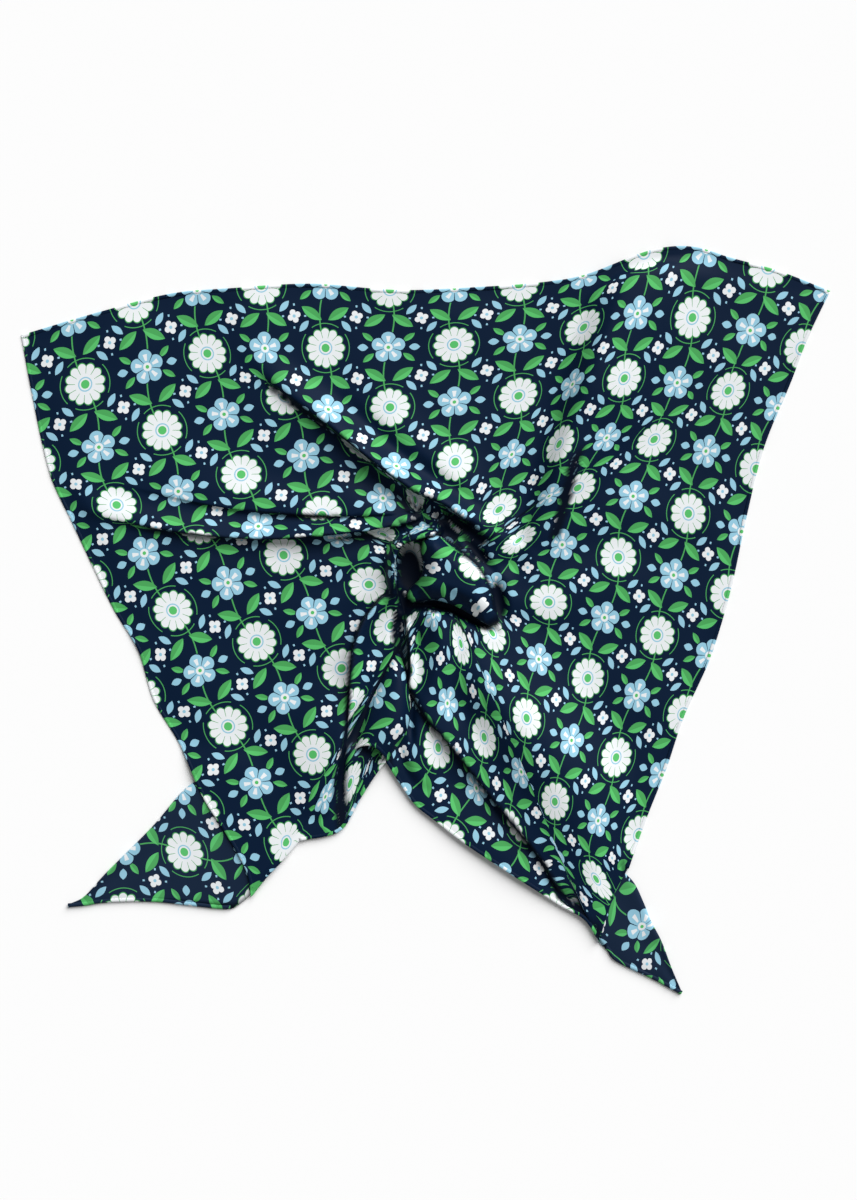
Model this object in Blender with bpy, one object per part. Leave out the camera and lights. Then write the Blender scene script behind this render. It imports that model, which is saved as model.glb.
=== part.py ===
"""A 90 cm silk square, laid face up, gathered and twisted at its middle.

The top layer lies flat but for the folds that run out from the twist. The two lower corners
are turned under, folded in two along their diagonal, and point out to the sides as tails.
Metres, +Z up. The origin is on the table, below the middle of the outline's box.
"""

import bmesh
import bpy
import numpy as np
from mathutils import Vector
from mathutils.bvhtree import BVHTree

MM = 0.001

# Driving sizes
CLOTH = 1.2 * MM
SEAM_GAP = 0.3 * MM
CORNER_GAP = 0.5 * MM
SEAT_GAP = 0.95 * MM
HEM_WIDTH = 4.0 * MM
HEM_RISE = 1.8 * MM
TAIL_LAYERS = 2
TAIL_GROOVE = 5.0 * MM
TAIL_THICKNESS = TAIL_LAYERS * CLOTH + SEAM_GAP

# The twist: its middle, and the level patch of the top layer that it stands on
TWIST = (16 * MM, 50 * MM)
PATCH_RADIUS = 76 * MM
PATCH_HEIGHT = 4 * MM
DOME_RADIUS = 210 * MM
RINGS = 17

# Outline of the top layer, clockwise from its top left corner, in mm: x, y, lift off the table
TOP_HEM = (
    (-441, 311, 0), (-359, 335, 2), (-279, 356, 0), (-210, 362, 3), (-126, 367, 0),
    (-28, 360, 2), (67, 364, 0), (131, 369, 2), (176, 377, 5), (243, 402, 9),
    (290, 407, 4), (334, 395, 0), (385, 381, 1), (441, 359, 0),
)
RIGHT_HEM = (
    (441, 359, 0), (417, 309, 2), (398, 259, 0), (369, 189, 2), (350, 113, 0), (333, 35, 2),
    (311, -39, 0), (282, -104, 1), (263, -160, 0), (241, -215, 2), (221, -270, 3),
)
RIGHT_ROLL = ((221, -270, 3), (205, -298, 3), (196, -325, 3), (188, -348, 2))
BOTTOM_RIGHT_HEM = (
    (188, -348, 2), (172, -325, 2), (147, -311, 1), (124, -296, 0), (88, -273, 0),
    (40, -241, 1), (9, -217, 0), (-12, -200, 1), (-29, -176, 2), (-43, -154, 2),
)
BOTTOM_LEFT_HEM = (
    (-43, -154, 2), (-54, -168, 2), (-70, -193, 2), (-84, -219, 3), (-98, -232, 3),
    (-126, -238, 3), (-136, -240, 3),
)
LEFT_ROLL = ((-136, -240, 3), (-152, -258, 3), (-170, -278, 3), (-189, -302, 3))
LEFT_HEM = (
    (-189, -302, 3), (-193, -273, 3), (-216, -234, 3), (-243, -191, 3), (-268, -135, 1),
    (-297, -86, 0), (-313, -33, 2), (-342, 16, 0), (-383, 102, 0), (-407, 153, 1),
    (-419, 198, 0), (-432, 263, 1), (-441, 311, 0),
)

# Each stretch of the outline: name, its rows, whether it is hemmed, and how many rays end on it
OUTLINE = (
    ("hem_top", TOP_HEM, True, 32),
    ("hem_right", RIGHT_HEM, True, 24),
    ("right_roll", RIGHT_ROLL, False, 3),
    ("hem_bottom_right", BOTTOM_RIGHT_HEM, True, 18),
    ("hem_bottom_left", BOTTOM_LEFT_HEM, True, 8),
    ("left_roll", LEFT_ROLL, False, 4),
    ("hem_left", LEFT_HEM, True, 29),
)

# Folds of the top layer, in mm: name, start, bend, end, half width, rise at the start and at the end
FOLDS = (
    ("left pleat", (-45, 100), (-160, 106), (-290, 112), 22, 17, 3),
    ("upper left swell", (-50, 130), (-130, 190), (-200, 270), 30, 9, 3),
    ("upper middle swell", (0, 135), (-40, 215), (-80, 300), 30, 9, 2),
    ("top swell", (30, 150), (45, 240), (70, 350), 30, 6, 1),
    ("cross fold", (-25, 165), (50, 120), (130, 66), 20, 12, 6),
    ("long upper right fold", (98, 15), (165, 160), (222, 372), 32, 15, 8),
    ("right swell", (110, 40), (220, 30), (320, 30), 38, 7, 1),
    ("lower right swell", (90, -10), (190, -100), (255, -190), 34, 8, 1),
    ("pinch fold", (60, -30), (140, -150), (215, -262), 24, 10, 4),
    ("long lower right fold", (10, -45), (85, -190), (165, -312), 18, 13, 4),
    ("right of the notch", (2, -20), (8, -100), (-8, -185), 17, 15, 5),
    ("left of the notch", (-66, -5), (-80, -95), (-84, -200), 18, 13, 4),
    ("lower left swell", (-70, 10), (-170, -60), (-225, -160), 36, 9, 2),
)

# Tails, in mm, from the tip to the end below the top layer: hem edge x, y, and folded edge x, y
LEFT_TAIL = (
    (-389, -312, -388, -309), (-369, -310, -371, -300), (-348, -307, -348, -275),
    (-298, -306, -298, -225), (-250, -311, -258, -180), (-215, -314, -226, -170),
    (-199, -308, -200, -175), (-186, -290, -178, -190),
)
RIGHT_TAIL = (
    (278, -407, 279, -404), (262, -398, 268, -378), (245, -389, 257, -349), (208, -371, 245, -326),
    (198, -358, 238, -308), (187, -340, 226, -284), (178, -312, 206, -266),
)
TAIL_HEM_ROWS = {"left": 7, "right": 5}
TAIL_SLOPE = 14 * MM
TAIL_STEPS = 3

# The lower pleat, in mm, from the twist to its mouth: left foot x, y, right foot x, y, rise
LOWER_PLEAT = (
    (-38, -26, -24, -28, 5), (-49, -56, -28, -58, 9), (-62, -92, -30, -94, 12),
    (-76, -122, -40, -124, 15), (-80, -134, -46, -132, 16),
)
PLEAT_SPAN = 8

# The collar of the twist, in mm, along its crest: x, y, half width, rise
TWIST_COLLAR = (
    (-30, 6, 5, 5), (-37, 34, 9, 13), (-32, 66, 11, 19), (-12, 92, 12, 23), (18, 103, 13, 25),
    (50, 97, 13, 24), (70, 72, 12, 21), (76, 42, 11, 16), (72, 12, 8, 10), (62, -8, 4, 5),
)
# The lobe of the twist, in mm, from its foot up: middle x, y, radius across, radius along, height
TWIST_LOBE = (
    (24, 42, 33, 31, 0), (24, 42, 37, 34, 5), (24, 43, 40, 36, 12), (23, 43, 41, 36, 20),
    (21, 44, 38, 33, 28), (18, 45, 31, 26, 35), (16, 46, 19, 15, 39), (15, 46, 7, 5, 40.5),
)
LOBE_TURN = 25
LOBE_SIDES = 30
LOBE_FLUTES = 3
FLUTE_DEPTH = 0.07
FLUTE_TURN = 110


NAVY = (0.008, 0.017, 0.050, 1)
REVERSE_NAVY = (0.010, 0.021, 0.058, 1)
HEM_BLUE = (0.012, 0.030, 0.075, 1)
LEAF_GREEN = (0.060, 0.330, 0.095, 1)


def clear_scene():
    for item in list(bpy.data.objects):
        bpy.data.objects.remove(item, do_unlink=True)


def silk(name, color, roughness):
    material = bpy.data.materials.new(name)
    material.use_nodes = True
    shader = material.node_tree.nodes["Principled BSDF"]
    shader.inputs["Base Color"].default_value = color
    shader.inputs["Roughness"].default_value = roughness
    shader.inputs["Metallic"].default_value = 0
    return material


def curve_through(rows, count):
    """count + 1 evenly spaced points of a smooth curve through the rows, which are in mm."""
    rows = np.array(rows, float) * MM
    padded = np.vstack([2 * rows[0] - rows[1], rows, 2 * rows[-1] - rows[-2]])
    steps = np.linspace(0, 1, 12, endpoint=False)[:, None]
    pieces = []
    for before, start, end, after in zip(padded, padded[1:], padded[2:], padded[3:]):
        linear = (end - before) * steps
        square = (2 * before - 5 * start + 4 * end - after) * steps**2
        cube = (3 * start - before - 3 * end + after) * steps**3
        pieces.append(start + (linear + square + cube) / 2)
    dense = np.vstack(pieces + [rows[-1:]])
    along = np.concatenate([[0], np.cumsum(np.hypot(*np.diff(dense[:, :2], axis=0).T))])
    wanted = np.linspace(0, along[-1], count + 1)
    return np.column_stack([np.interp(wanted, along, column) for column in dense.T])


def inward(points, closed):
    """The mitred inward direction at each point of a clockwise outline."""
    ahead = np.roll(points, -1, axis=0) - points
    behind = np.roll(ahead, 1, axis=0)
    if not closed:
        ahead[-1] = behind[-1]
        behind[0] = ahead[0]
    normals = []
    for leg in (behind, ahead):
        leg = leg / np.linalg.norm(leg, axis=1)[:, None]
        normals.append(np.column_stack([leg[:, 1], -leg[:, 0]]))
    both = normals[0] + normals[1]
    return both / np.maximum(np.sum(both * both, axis=1) / 2, 0.5)[:, None]


def swell(distance, reach):
    """1 on a crest, falling smoothly to 0 at the reach."""
    return np.cos(np.clip(distance / reach, 0, 1) * np.pi / 2) ** 2


def ease(value):
    value = np.clip(value, 0, 1)
    return value * value * (3 - 2 * value)


def fold_height(points, start, bend, end, half_width, rise_start, rise_end):
    """Height of one fold at each plan point: a rounded ridge along a bent path."""
    start, bend, end = (np.array(place) * MM for place in (start, bend, end))
    t = np.linspace(0, 1, 41)[:, None]
    path = (1 - t) ** 2 * start + 2 * t * (1 - t) * bend + t**2 * end
    away = np.linalg.norm(points[:, None, :] - path[None], axis=2)
    nearest = away.argmin(axis=1)
    rise = rise_start + (rise_end - rise_start) * t[nearest, 0]
    return rise * MM * swell(away.min(axis=1), half_width * MM)


def outside(points, rows):
    """Distance of each plan point outside a tail, 0 on it."""
    hem, folded = curve_through(rows, 24)[:, :2], curve_through(rows, 24)[:, 2:]
    across = np.linspace(0, 1, 9)[:, None, None]
    cover = (hem * (1 - across) + folded * across).reshape(-1, 2)
    spacing = 8 * MM
    away = np.linalg.norm(points[:, None, :] - cover[None], axis=2).min(axis=1)
    return np.maximum(away - spacing, 0)


def rest_height(points):
    """Height of the top layer's underside at each plan point, without the lift of its hems."""
    powers = 3
    total = np.zeros(len(points))
    for _, *fold in FOLDS:
        total += fold_height(points, *fold) ** powers
    from_twist = np.linalg.norm(points - np.array(TWIST), axis=1)
    total += (PATCH_HEIGHT * swell(from_twist - PATCH_RADIUS, DOME_RADIUS - PATCH_RADIUS)) ** powers
    height = total ** (1 / powers)
    patch = ease((from_twist - PATCH_RADIUS) / (12 * MM))
    height = PATCH_HEIGHT + (height - PATCH_HEIGHT) * patch
    over_tail = TAIL_THICKNESS + SEAM_GAP
    for rows in (LEFT_TAIL, RIGHT_TAIL):
        step = over_tail * (1 - ease(outside(points, rows) / TAIL_SLOPE))
        height = np.maximum(height, step)
    return np.where(height < 0.3 * MM, 0, height)


def top_outline():
    """The outline's points, their lift, whether each is on a hem, and each stretch's range."""
    points, hemmed, ranges = [], [], {}
    count = 0
    for name, rows, hem, rays in OUTLINE:
        points.append(curve_through(rows, rays)[:-1])
        hemmed += [hem] * rays
        ranges[name] = (count, count + rays)
        count += rays
    hemmed = np.array(hemmed)
    return np.vstack(points), hemmed | np.roll(hemmed, 1), ranges


def add_object(name, vertices, faces, material, collection):
    mesh = bpy.data.meshes.new(name)
    shape = bmesh.new()
    corners = [shape.verts.new(Vector(vertex)) for vertex in vertices]
    for face in faces:
        shape.faces.new([corners[index] for index in face])
    bmesh.ops.recalc_face_normals(shape, faces=shape.faces)
    shape.to_mesh(mesh)
    shape.free()
    mesh.shade_smooth()
    mesh.set_sharp_from_angle(angle=0.7)
    item = bpy.data.objects.new(name, mesh)
    item.data.materials.append(material)
    collection.objects.link(item)
    return item


def loft(sections, closed_ring=False):
    """Faces between equal sections in order, with the two ends capped unless they are a ring."""
    vertices = [point for section in sections for point in section]
    size = len(sections[0])
    faces = []
    for row in range(len(sections) - 1):
        for side in range(size):
            near = row * size + side
            after = row * size + (side + 1) % size
            faces.append((near, after, after + size, near + size))
    if not closed_ring:
        faces.append(tuple(range(size))[::-1])
        faces.append(tuple(range(len(vertices) - size, len(vertices))))
    return vertices, faces


def wall_rise(heights, rings, rays, plan):
    """How far above the underside the upper face lies, so that the wall is CLOTH thick on a slope."""
    grid = plan.reshape(rings, rays, 2)
    level = heights.reshape(rings, rays)
    out = np.gradient(level, axis=0) / np.maximum(np.linalg.norm(np.gradient(grid, axis=0), axis=2), MM)
    around = (np.roll(level, -1, axis=1) - np.roll(level, 1, axis=1)) / np.maximum(
        np.linalg.norm(np.roll(grid, -1, axis=1) - np.roll(grid, 1, axis=1), axis=2), MM)
    return (CLOTH * np.minimum(np.sqrt(1 + out**2 + around**2), 2)).reshape(-1)


def make_top_layer(material, collection):
    """Rings from the level patch at the twist out to the hems, with an upper and an under face."""
    outline, hemmed, ranges = top_outline()
    inset = np.where(hemmed, HEM_WIDTH + SEAM_GAP, 0)
    ways = inward(outline[:, :2], True)
    edge = outline[:, :2] + ways * inset[:, None]
    middle = np.array(TWIST)
    from_middle = edge - middle
    reach = np.linalg.norm(from_middle, axis=1)
    direction = from_middle / reach[:, None]
    rays = len(edge)
    fractions = np.linspace(0, 1, RINGS) ** 0.92
    radii = PATCH_RADIUS + (reach[None] - PATCH_RADIUS) * fractions[:, None]
    plan = (middle + radii[:, :, None] * direction[None]).reshape(-1, 2)
    heights = rest_height(plan).reshape(RINGS, rays)
    lift = np.repeat(outline[None, :, 2], RINGS, axis=0) * ease((fractions[:, None] - 0.45) / 0.55)
    heights = np.maximum(heights, lift).reshape(-1)
    rise = wall_rise(heights, RINGS, rays, plan)
    under = np.column_stack([plan, heights])
    upper = np.column_stack([plan, heights + rise])
    vertices = list(under) + list(upper)
    total = RINGS * rays
    faces = []
    for ring in range(RINGS - 1):
        for ray in range(rays):
            a = ring * rays + ray
            b = ring * rays + (ray + 1) % rays
            faces.append((a, b, b + rays, a + rays))
            faces.append((a + total, a + rays + total, b + rays + total, b + total))
    for ray in range(rays):
        a = (RINGS - 1) * rays + ray
        b = (RINGS - 1) * rays + (ray + 1) % rays
        faces.append((a, b, b + total, a + total))
    faces.append(tuple(range(rays)))
    faces.append(tuple(range(total, total + rays))[::-1])
    item = add_object("top_layer", vertices, faces, material, collection)
    edge_height = heights.reshape(RINGS, rays)[-1]
    return item, np.column_stack([outline[:, :2], ways, edge_height]), ranges


def make_hem(name, outer, direction, heights, layers, material, collection):
    """A strip of turned hem beside a cloth edge, outside it by the seam gap."""
    inner = outer + direction * HEM_WIDTH
    middle = outer + direction * HEM_WIDTH / 2
    rise = HEM_RISE + (layers - 1) * CLOTH
    sections = []
    for out, mid, into, level in zip(outer, middle, inner, heights):
        sections.append((
            (*out, level), (*out, level + rise * 0.7), (*mid, level + rise),
            (*into, level + rise * 0.7), (*into, level),
        ))
    vertices, faces = loft(sections)
    return add_object(name, vertices, faces, material, collection)


def make_outline_hems(border, ranges, material, collection):
    closed = np.vstack([border, border[:1]])
    for name, _, hem, _ in OUTLINE:
        if not hem:
            continue
        first, last = ranges[name]
        rows = closed[first:last + 1]
        points = rows[:, :2].copy()
        for end, inner in ((0, 1), (-1, -2)):
            along = points[inner] - points[end]
            points[end] += along / np.linalg.norm(along) * CORNER_GAP
        make_hem(name, points, rows[:, 2:4], rows[:, 4], 1, material, collection)


def make_tail(name, rows, hem_rows, material, hem_material, collection):
    """A corner folded in two: one solid with a groove between its layers along the hem edge."""
    stations = curve_through(rows, TAIL_STEPS * (len(rows) - 1))
    hem_end = TAIL_STEPS * (hem_rows - 1)
    keep = slice(0, hem_end + 1)
    if name == "left_tail":
        stations = stations[::-1]
        keep = slice(len(stations) - 1 - hem_end, None)
    hem_edge, folded = stations[:, :2], stations[:, 2:]
    ways = inward(hem_edge, False)
    inner = hem_edge + ways * (HEM_WIDTH + SEAM_GAP)
    across = folded - inner
    wide = np.linalg.norm(across, axis=1)
    room = np.sum(across * ways, axis=1) > TAIL_GROOVE
    low, high = CLOTH, CLOTH + SEAM_GAP
    sections = []
    for start, way, width in zip(inner[room], (across / wide[:, None])[room], wide[room]):
        mouth = start + way * min(TAIL_GROOVE, width * 0.4)
        shoulder = start + way * (width - CLOTH)
        bend = start + way * width
        sections.append((
            (*start, 0), (*start, low), (*mouth, (low + high) / 2), (*start, high),
            (*start, TAIL_THICKNESS), (*shoulder, TAIL_THICKNESS), (*bend, TAIL_THICKNESS * 0.7),
            (*bend, TAIL_THICKNESS * 0.3), (*shoulder, 0),
        ))
    vertices, faces = loft(sections)
    add_object(name, vertices, faces, material, collection)
    hem = hem_edge[keep]
    make_hem("hem_" + name, hem, ways[keep], np.zeros(len(hem)), TAIL_LAYERS, hem_material, collection)


def seat(tree, x, y):
    """The height of the top layer's upper face at a place."""
    hit = tree.ray_cast(Vector((x, y, 1)), Vector((0, 0, -1)))
    return hit[0].z


def make_lower_pleat(tree, material, hem_material, collection):
    """An arched sheet that widens from the twist to its open mouth."""
    rows = curve_through(LOWER_PLEAT, 10)
    across = np.linspace(0, 1, PLEAT_SPAN + 1)
    arch = np.sin(across * np.pi) ** 0.8
    sections = []
    for left_x, left_y, right_x, right_y, rise in rows:
        under, upper = [], []
        for share, bow in zip(across, arch):
            x = left_x + (right_x - left_x) * share
            y = left_y + (right_y - left_y) * share
            level = seat(tree, x, y) + SEAT_GAP + rise * bow
            under.append((x, y, level))
            upper.append((x, y, level + CLOTH * (1.5 - 0.5 * bow)))
        sections.append(under + upper[::-1])
    vertices, faces = loft(sections)
    add_object("lower_pleat", vertices, faces, material, collection)
    mouth = np.array(sections[-1])[:PLEAT_SPAN + 1]
    beyond = np.array([0, -1]) * (HEM_WIDTH + SEAM_GAP)
    strip = []
    for x, y, level in mouth:
        low = max(level, seat(tree, x, y + beyond[1]) + SEAT_GAP)
        near, far = y - SEAM_GAP, y + beyond[1]
        strip.append(((x, near, low), (x, far, low), (x, far, low + HEM_RISE), (x, near, low + HEM_RISE)))
    vertices, faces = loft(strip)
    add_object("hem_pleat", vertices, faces, hem_material, collection)


def make_twist(material, collection):
    """The lobe and the collar, both standing on the level patch."""
    floor = PATCH_HEIGHT + CLOTH + SEAM_GAP
    rows = curve_through(TWIST_COLLAR, 22)
    ahead = np.gradient(rows[:, :2], axis=0)
    side = np.column_stack([-ahead[:, 1], ahead[:, 0]]) / np.linalg.norm(ahead, axis=1)[:, None]
    angles = np.radians((0, 30, 60, 90, 120, 150, 180))
    sections = []
    for (x, y, half_width, rise), way in zip(rows, side):
        section = []
        for angle in angles:
            place = np.array((x, y)) + way * half_width * np.cos(angle)
            section.append((*place, floor + rise * np.sin(angle)))
        sections.append(section)
    vertices, faces = loft(sections)
    add_object("twist_collar", vertices, faces, material, collection)
    turn = np.radians(LOBE_TURN)
    sections = []
    for level, (x, y, across, along, height) in enumerate(np.array(TWIST_LOBE) * MM):
        wound = np.radians(FLUTE_TURN) * level / len(TWIST_LOBE)
        section = []
        for angle in np.linspace(0, 2 * np.pi, LOBE_SIDES, endpoint=False):
            flute = 1 + FLUTE_DEPTH * np.cos(LOBE_FLUTES * (angle - wound))
            a, b = across * flute * np.cos(angle), along * flute * np.sin(angle)
            section.append((x + a * np.cos(turn) - b * np.sin(turn),
                            y + a * np.sin(turn) + b * np.cos(turn), floor + height))
        sections.append(section)
    vertices, faces = loft(sections)
    add_object("twist_lobe", vertices, faces, material, collection)


def main():
    clear_scene()
    collection = bpy.data.collections.new("silk_square")
    bpy.context.scene.collection.children.link(collection)
    face = silk("silk_face", NAVY, 0.4)
    reverse = silk("silk_reverse", REVERSE_NAVY, 0.45)
    hem = silk("turned_hem", HEM_BLUE, 0.5)
    accent = silk("silk_twist", LEAF_GREEN, 0.4)
    top_layer, border, ranges = make_top_layer(face, collection)
    make_outline_hems(border, ranges, hem, collection)
    make_tail("left_tail", LEFT_TAIL, TAIL_HEM_ROWS["left"], reverse, hem, collection)
    make_tail("right_tail", RIGHT_TAIL, TAIL_HEM_ROWS["right"], reverse, hem, collection)
    tree = BVHTree.FromObject(top_layer, bpy.context.evaluated_depsgraph_get())
    make_lower_pleat(tree, face, hem, collection)
    make_twist(accent, collection)


main()
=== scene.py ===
"""Looks of the silk square: the laid cloth with its folds and twist, its hems and stitches, the
silk and its print, the table, the light and the camera."""

import random

import bpy
import numpy as np
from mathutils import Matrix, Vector


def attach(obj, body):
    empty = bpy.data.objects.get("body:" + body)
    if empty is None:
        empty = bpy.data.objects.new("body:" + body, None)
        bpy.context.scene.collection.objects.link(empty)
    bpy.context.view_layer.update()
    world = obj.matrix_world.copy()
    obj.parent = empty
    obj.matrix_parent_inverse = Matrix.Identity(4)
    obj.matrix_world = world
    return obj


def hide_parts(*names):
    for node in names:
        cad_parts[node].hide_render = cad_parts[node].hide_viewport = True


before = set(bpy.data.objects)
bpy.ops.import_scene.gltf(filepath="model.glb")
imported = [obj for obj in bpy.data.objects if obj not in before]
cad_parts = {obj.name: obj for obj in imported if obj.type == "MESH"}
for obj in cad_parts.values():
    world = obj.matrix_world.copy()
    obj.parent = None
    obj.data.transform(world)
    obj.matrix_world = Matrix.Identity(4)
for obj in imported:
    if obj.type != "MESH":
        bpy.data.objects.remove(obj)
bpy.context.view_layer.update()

MM = 0.001
SIDE = 900 * MM
# the sheet above what it lies on, and the least height of a hem over the table
SILK = 0.4 * MM
TABLE_GAP = 0.05 * MM
# points in each step of a table's line, and along a fold, round the lobe and along a tail
CURVE_STEPS = 12
FOLD_STEPS = 40
LOBE_STEPS = 60
TAIL_STEPS = 72

# hems: their foot below the sheet, how much width and thickness waver, the taper at a sharp corner,
# and in mm the step between points and the lengths of the puckers
HEM_WIDTH = 4.0 * MM
HEM_THICK = 1.5 * MM
HEM_SUNK = 0.55 * MM
HEM_WAVER = (0.05, 0.14)
HEM_TAPER = 10 * MM
HEM_STEP = 2.4
PUCKERS = (9, 13, 21, 34, 60)
# stitches, and where they lie: a share of the hem's width, and of its thickness
STITCH_PITCH = 4.2 * MM
STITCH_LENGTH = 1.7 * MM
STITCH_HALF_WIDTH = 0.22 * MM
STITCH_RISE = 0.28 * MM
STITCH_ACROSS = 0.86
STITCH_UP = 0.72
# the same on the pleat's mouth, whose hem is sunk by a share of its thickness
MOUTH_SUNK = 0.45
MOUTH_STITCH_UP = 0.32

# the top layer's rim: how far it is set in below a hem, where that tapers at a sharp corner, and
# how far in the folds flatten
RIM_INSET = 3.0 * MM
INSET_TAPER = 26 * MM
RIM_FADE = 34 * MM
# from which share of the way to the rim a lifted edge rises, along the lower edges and elsewhere
LOWER_LIFT_FROM = 0.72
LIFT_FROM = 0.45
SMOOTH_RAYS = 14
# where it rolls under, above a tail: degrees turned, and mm tucked below
ROLL_RADIUS = 1.8 * MM
ROLL_STEPS = ((30, 0), (60, 0), (90, 0), (120, 0), (150, 0), (180, 0), (180, 6))
ROLL_LOWEST = 0.3 * MM
# rings from the twist to the rim: the even share of their spacing, and the power of the rest
RINGS = 106
RING_EVEN = 0.42
RING_POWER = 2.1

# tails: height, swell, gap over the table, and the width from which they are as thick as that
TAIL_HEIGHT = 4.4 * MM
TAIL_SWELL = 0.55 * MM
TAIL_GAP = 0.35 * MM
TAIL_FULL = 30 * MM
# the hems of a tail's two layers: how far they are set in, and their height
TAIL_HEMS = ((0.0, 2.2 * MM), (-0.7 * MM, TABLE_GAP))
# how high the top layer lies over them, how far past them it is as high, and how far it falls
OVER_TAIL = 5.4 * MM
OVER_TAIL_FLAT = 6 * MM
OVER_TAIL_FALL = 46 * MM

# across the hem from its edge inward, and up
HEM_SECTION = (
    (0.0, 0.45), (0.08, 0.8), (0.3, 1.0), (0.6, 1.0), (0.86, 0.8), (1.0, 0.4), (0.75, 0.05),
    (0.4, 0.0), (0.1, 0.1),
)
# across a folded corner from its hems to its fold, and up
TAIL_SECTION = (
    (0.0, 0.42), (0.06, 0.52), (0.16, 0.58), (0.28, 0.62), (0.40, 0.64), (0.52, 0.66),
    (0.64, 0.70), (0.75, 0.78), (0.84, 0.90), (0.91, 1.0), (0.96, 0.98), (0.99, 0.80), (1.0, 0.5),
    (0.99, 0.2), (0.95, 0.03), (0.8, 0.0), (0.5, 0.0), (0.2, 0.0), (0.03, 0.05),
)

# ---- the outline of the lay, x, y, lift in mm
TOP_HEM = (
    (-441, 311, 0), (-359, 335, 2), (-279, 356, 0), (-210, 362, 3), (-126, 367, 0),
    (-28, 360, 2), (67, 364, 0), (131, 369, 2), (176, 377, 5), (243, 402, 9),
    (290, 407, 4), (334, 395, 0), (385, 381, 1), (441, 359, 0),
)
RIGHT_HEM = (
    (441, 359, 0), (417, 309, 2), (398, 259, 0), (369, 189, 2), (350, 113, 0), (333, 35, 2),
    (311, -39, 0), (282, -104, 1), (263, -160, 0), (241, -215, 2), (221, -270, 3),
)
RIGHT_ROLL = ((221, -270, 3), (205, -298, 3), (196, -325, 3), (188, -348, 2))
BOTTOM_RIGHT_HEM = (
    (188, -348, 2), (172, -325, 4), (147, -311, 5), (124, -296, 7), (88, -273, 8),
    (40, -241, 7), (9, -217, 6), (-12, -200, 5), (-29, -176, 6), (-43, -154, 7),
)
BOTTOM_LEFT_HEM = ((-43, -154, 7), (-54, -168, 6), (-70, -193, 5), (-84, -219, 4), (-90, -227, 4))
BOTTOM_LEFT_END = (
    (-90, -227, 4), (-98, -232, 4), (-113, -236, 4), (-126, -238, 4), (-136, -240, 5),
)
LEFT_ROLL = ((-136, -240, 5), (-152, -258, 6), (-171, -278, 6), (-190, -299, 4))
LEFT_HEM = (
    (-190, -299, 3), (-195, -273, 3), (-216, -234, 3), (-243, -191, 3), (-268, -135, 1),
    (-297, -86, 0), (-313, -33, 2), (-342, 16, 0), (-383, 102, 0), (-407, 153, 1),
    (-419, 198, 0), (-432, 263, 1), (-441, 311, 0),
)
# stretch, its rows, hemmed or not, its rays, and where its ends lie on the flat square in mm
OUTLINE = (
    ("top", TOP_HEM, True, 180, (0, 0), (900, 0)),
    ("right", RIGHT_HEM, True, 132, (900, 0), (900, 668)),
    ("right_roll", RIGHT_ROLL, False, 20, (900, 668), (888, 753)),
    ("bottom_right", BOTTOM_RIGHT_HEM, True, 104, (678, 900), (372, 900)),
    ("bottom_left", BOTTOM_LEFT_HEM, True, 30, (330, 900), (244, 900)),
    ("bottom_left_end", BOTTOM_LEFT_END, True, 18, (124, 646), (72, 630)),
    ("left_roll", LEFT_ROLL, False, 24, (72, 630), (0, 668)),
    ("left", LEFT_HEM, True, 228, (0, 668), (0, 0)),
)
# the way inward from each hem on the flat square
FLAT_INWARD = {
    "top": (0, 1), "right": (-1, 0), "bottom_right": (0, -1), "bottom_left": (0, -1),
    "bottom_left_end": (0, -1), "left": (1, 0),
}

# tails, in mm, from the tip to the end below the top layer: hem edge x, y, and folded edge x, y
LEFT_TAIL = (
    (-389, -312, -388, -309), (-369, -310, -371, -300), (-348, -307, -348, -275),
    (-298, -306, -298, -225), (-250, -311, -258, -180), (-215, -314, -226, -170),
    (-201, -308, -200, -175), (-186, -295, -178, -190),
)
RIGHT_TAIL = (
    (278, -407, 279, -404), (262, -398, 268, -378), (245, -389, 257, -349), (208, -371, 245, -326),
    (198, -359, 238, -308), (187, -346, 226, -284), (178, -312, 206, -266),
)

# ---- folds, all in mm
# the middle of the twist, and its place on the flat square
TWIST = np.array([16.0, 50.0])
TWIST_FLAT = np.array([450, 455])
# height of slack cloth, and of the low mound round the twist, with its reach
REST_HEIGHT = 1.2
MOUND_HEIGHT = 10
MOUND_REACH = 95
# how far from the twist the ripples are fully high
RIPPLES_FULL = 160
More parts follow.
